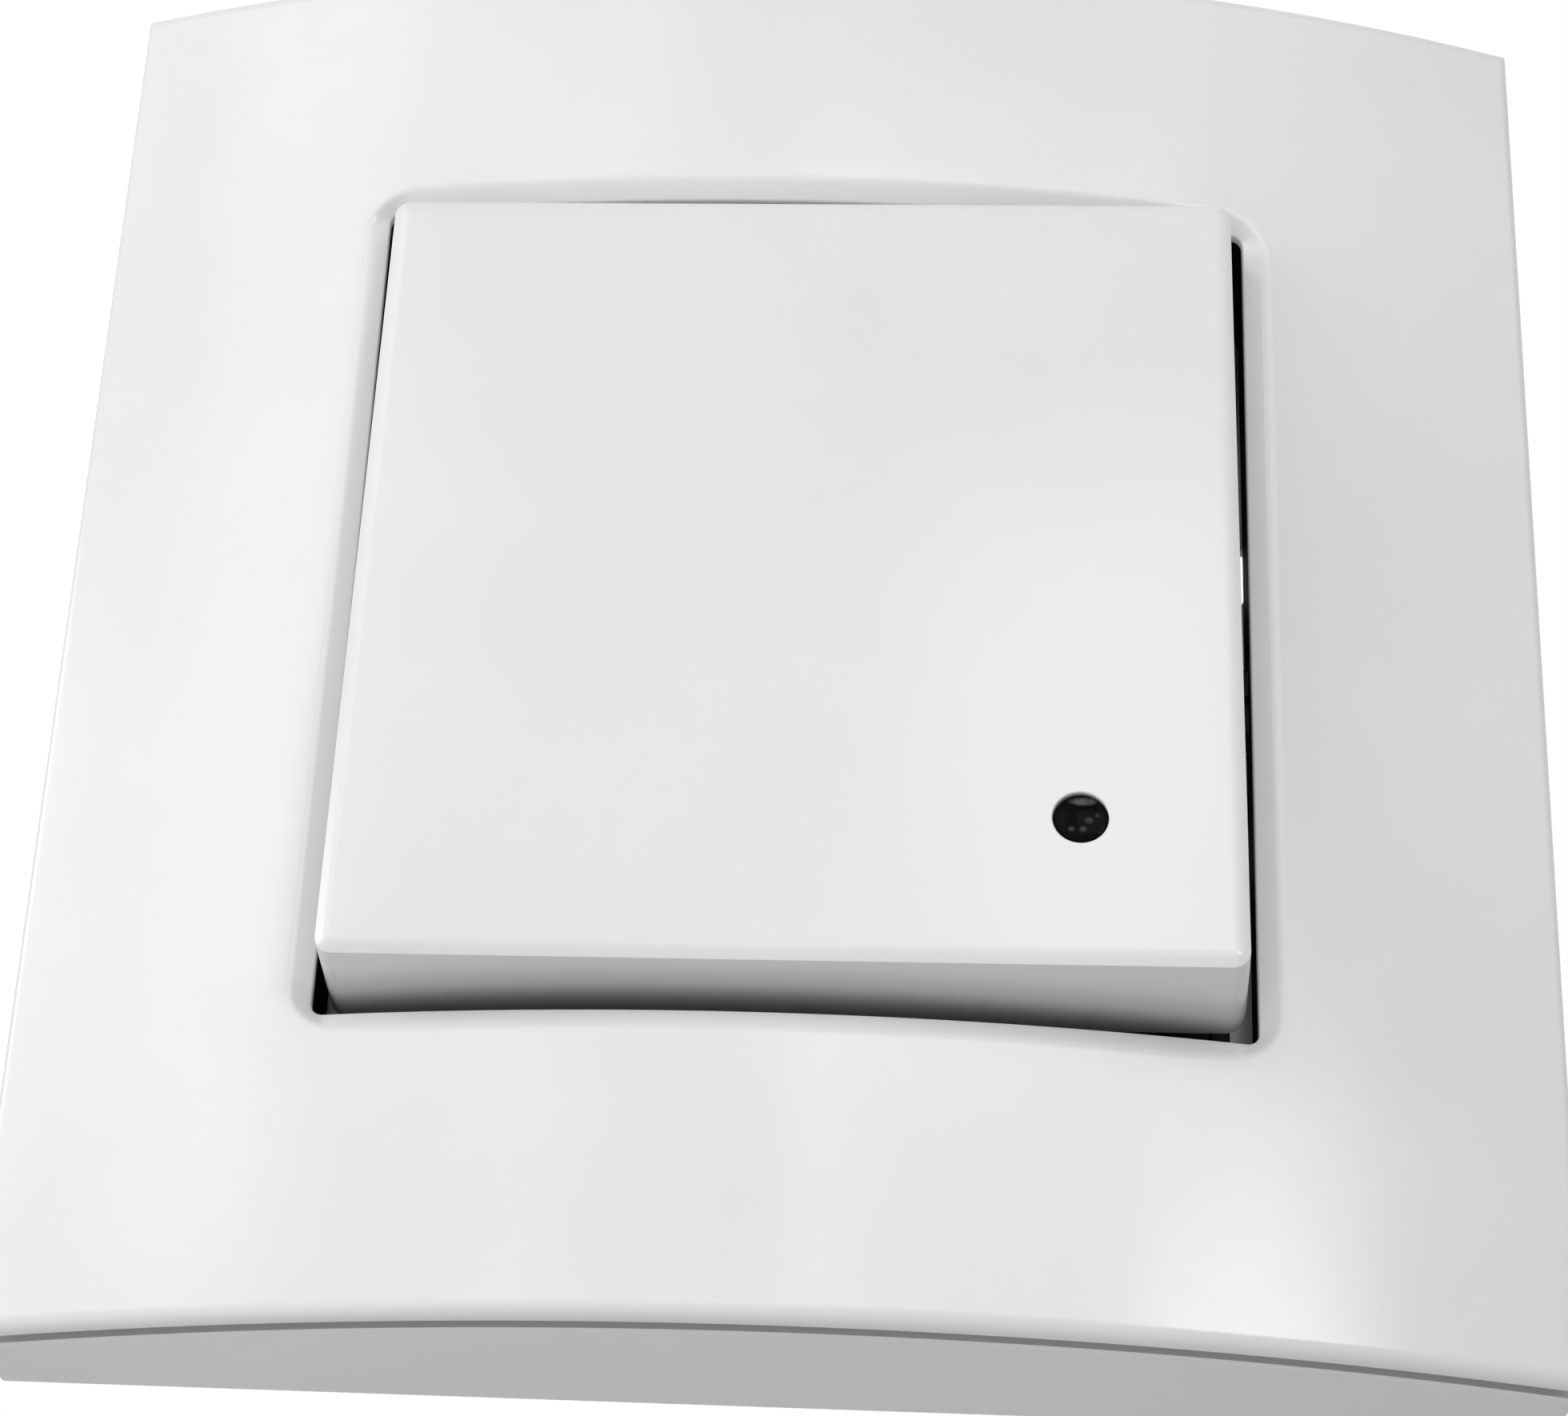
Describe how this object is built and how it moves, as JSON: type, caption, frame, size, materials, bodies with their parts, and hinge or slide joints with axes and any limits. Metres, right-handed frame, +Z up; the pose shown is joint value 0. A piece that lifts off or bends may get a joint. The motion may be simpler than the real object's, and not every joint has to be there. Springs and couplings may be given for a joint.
{
  "type": "wall timer switch",
  "caption": "Flush wall timer switch: a tilted push key in an arched square frame, on an electronic insert with steel ring, spreading claws and screw terminals.",
  "frame": {"origin": "centre of the insert in the wall plane, midway between the two box screw holes", "axes": "+X right, +Y into the wall, +Z up, seen from the room"},
  "size_m": [0.082, 0.0435, 0.082],
  "materials": {
    "white_cover": "glossy moulded thermoplastic",
    "smoked_lens": "polished smoked plastic",
    "white_insert": "satin moulded",
    "dark_insert": "satin moulded",
    "spring_steel": "drawn wire",
    "zinc_steel": "zinc plated",
    "grey_housing": "satin moulded",
    "green_board": "solder mask",
    "black_component": "moulded",
    "blue_component": "moulded",
    "tan_component": "ceramic",
    "yellow_component": "moulded",
    "brown_component": "moulded",
    "orange_dial": "moulded",
    "clear_plastic": "clear moulded",
    "brass": "bright pressed"
  },
  "bodies": {
    "insert": {"cover_frame": "white_cover", "return_spring": "spring_steel", "front_plate": "dark_insert", "support_ring": "zinc_steel", "claw_screws": "zinc_steel", "rear_housing": "grey_housing", "control_board": "green_board", "switch_body": "black_component", "trimmer_body": "blue_component", "indicator_led": "clear_plastic", "light_guide": "clear_plastic", "microcontroller": "black_component", "chip_resistors": "black_component", "chip_capacitors": "tan_component", "relay": "blue_component", "film_capacitor": "yellow_component", "electrolytic_capacitor": "black_component", "varistor": "blue_component", "fuse": "brown_component", "bridge_rectifier": "black_component", "voltage_regulator": "black_component", "dropper_resistor": "tan_component", "terminal_line": "brass", "terminal_neutral": "brass", "terminal_load": "brass", "terminal_screws": "zinc_steel", "contact_bars": "brass"},
    "key": {"key_cap": "white_cover", "indicator_lens": "smoked_lens", "key_carrier": "white_insert"},
    "plunger": {"switch_plunger": "white_insert"},
    "dial": {"time_dial": "orange_dial"},
    "claw_left": {"claw_left": "zinc_steel"},
    "claw_right": {"claw_right": "zinc_steel"},
    "nut_left": {"claw_nut_left": "zinc_steel"},
    "nut_right": {"claw_nut_right": "zinc_steel"}
  },
  "joints": [
    {"name": "key_press", "type": "hinge", "parent": "insert", "child": "key", "pos_m": [0, -0.0042, 0.0185], "axis": [1, 0, 0], "range_deg": [0, 3.2], "stiffness_Nm_per_rad": 1, "springref_deg": -3.44, "deforming": ["return_spring"]},
    {"name": "plunger_travel", "type": "slide", "parent": "insert", "child": "plunger", "axis": [0, 1, 0], "range_m": [0, 0.00082]},
    {"name": "dial_turn", "type": "hinge", "parent": "insert", "child": "dial", "pos_m": [-0.012, 0, -0.008], "axis": [0, 1, 0], "range_deg": [0, 270]},
    {"name": "claw_left_swing", "type": "hinge", "parent": "insert", "child": "claw_left", "pos_m": [-0.0223, 0.0026, 0], "axis": [0, 0, 1], "range_deg": [0, 32]},
    {"name": "claw_right_swing", "type": "hinge", "parent": "insert", "child": "claw_right", "pos_m": [0.0223, 0.0026, 0], "axis": [0, 0, -1], "range_deg": [0, 32]},
    {"name": "nut_left_travel", "type": "slide", "parent": "insert", "child": "nut_left", "axis": [0, -1, 0], "range_m": [0, 0.0041]},
    {"name": "nut_right_travel", "type": "slide", "parent": "insert", "child": "nut_right", "axis": [0, -1, 0], "range_m": [0, 0.0041]}
  ],
  "couplings": [
    {"joint": "plunger_travel", "follows": "key_press", "m_per_rad": 0.0145},
    {"joint": "nut_left_travel", "follows": "claw_left_swing", "m_per_rad": 0.0072},
    {"joint": "nut_right_travel", "follows": "claw_right_swing", "m_per_rad": 0.0072}
  ]
}
